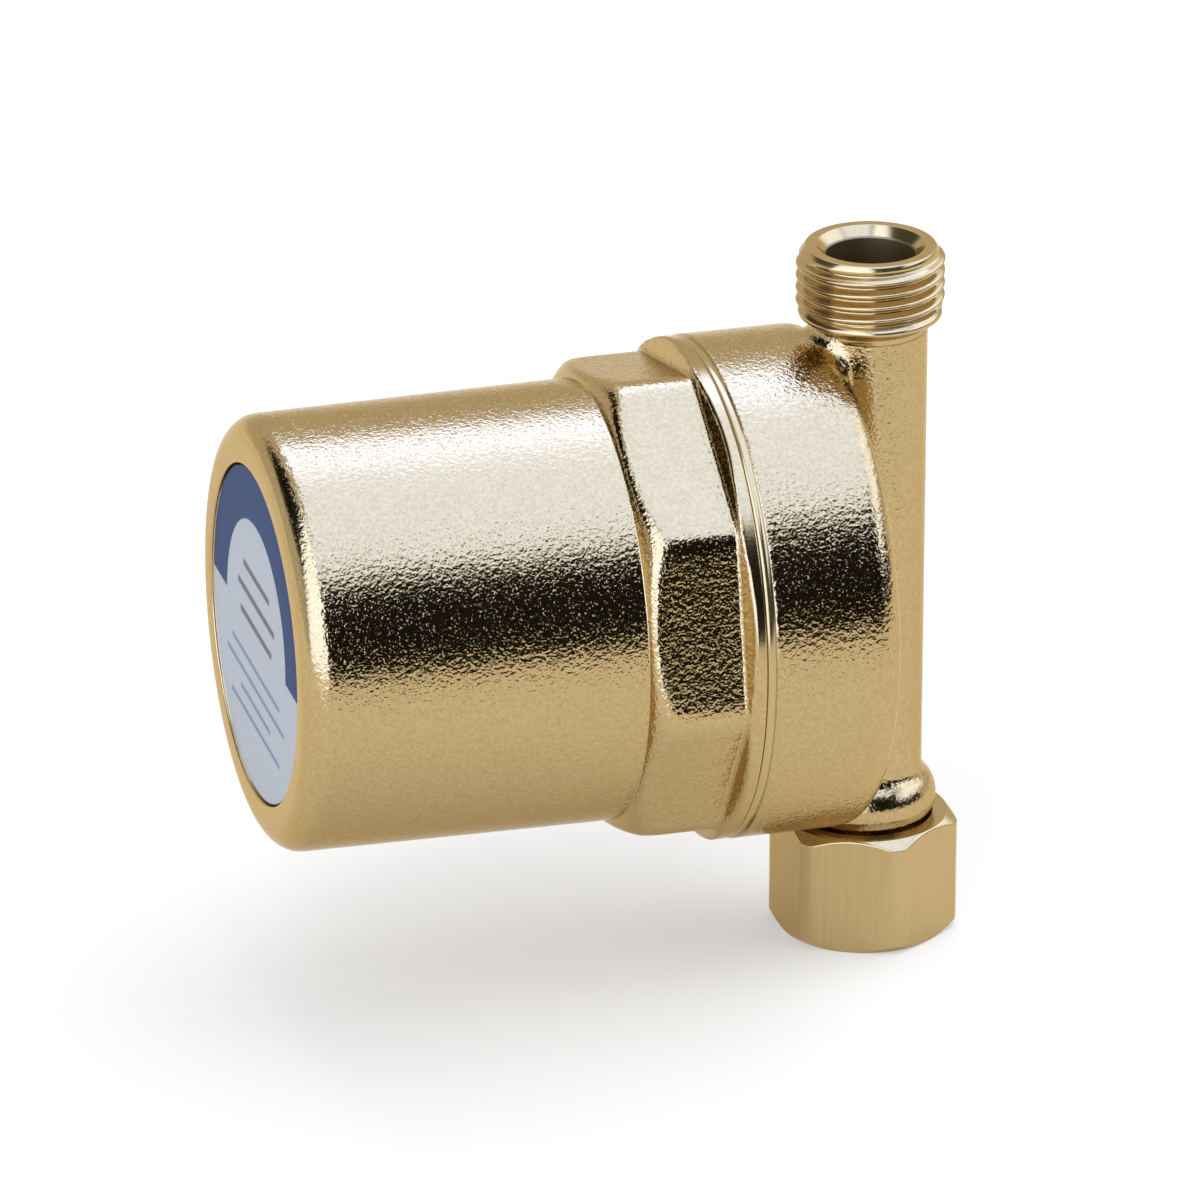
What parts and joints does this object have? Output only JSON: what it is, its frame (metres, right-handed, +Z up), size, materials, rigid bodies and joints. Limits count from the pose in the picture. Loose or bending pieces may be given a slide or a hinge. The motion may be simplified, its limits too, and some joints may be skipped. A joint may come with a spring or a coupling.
{
  "type": "water hammer arrestor",
  "caption": "In-line brass arrestor: a sprung piston in a barrel housing takes up pressure shocks from a flow tube with a threaded outlet and a captive swivel nut.",
  "frame": {"origin": "centre of the swivel nut's mouth, on the axis of the flow tube", "axes": "+Z runs up the flow tube to the outlet, -X runs along the piston axis to the label, and Y follows by the right-hand rule"},
  "size_m": [0.1019, 0.0714, 0.1033],
  "materials": {
    "plated_brass": "plated over a shot-blasted forging",
    "turned_brass": "plated over a turned surface",
    "label_print": "printed, satin",
    "seal_rubber": "moulded",
    "piston_polymer": "turned",
    "spring_steel": "drawn wire",
    "gasket_fibre": "pressed fibre"
  },
  "bodies": {
    "body": {"inlet_body": "plated_brass", "spring_housing": "plated_brass", "label_disc": "label_print", "housing_seal": "seal_rubber", "damping_spring": "spring_steel", "nut_retaining_wire": "spring_steel"},
    "piston_group": {"piston": "piston_polymer", "front_piston_ring": "seal_rubber", "rear_piston_ring": "seal_rubber"},
    "nut_group": {"swivel_nut": "turned_brass", "inlet_gasket": "gasket_fibre"}
  },
  "joints": [
    {"name": "piston_slide", "type": "slide", "parent": "body", "child": "piston_group", "axis": [-1, 0, 0], "range_m": [0, 0.02], "stiffness_N_per_m": 71000, "deforming": ["damping_spring"]},
    {"name": "nut_swivel", "type": "hinge", "parent": "body", "child": "nut_group", "pos_m": [0, 0, 0.0085], "axis": [0, 0, 1], "continuous": true}
  ]
}
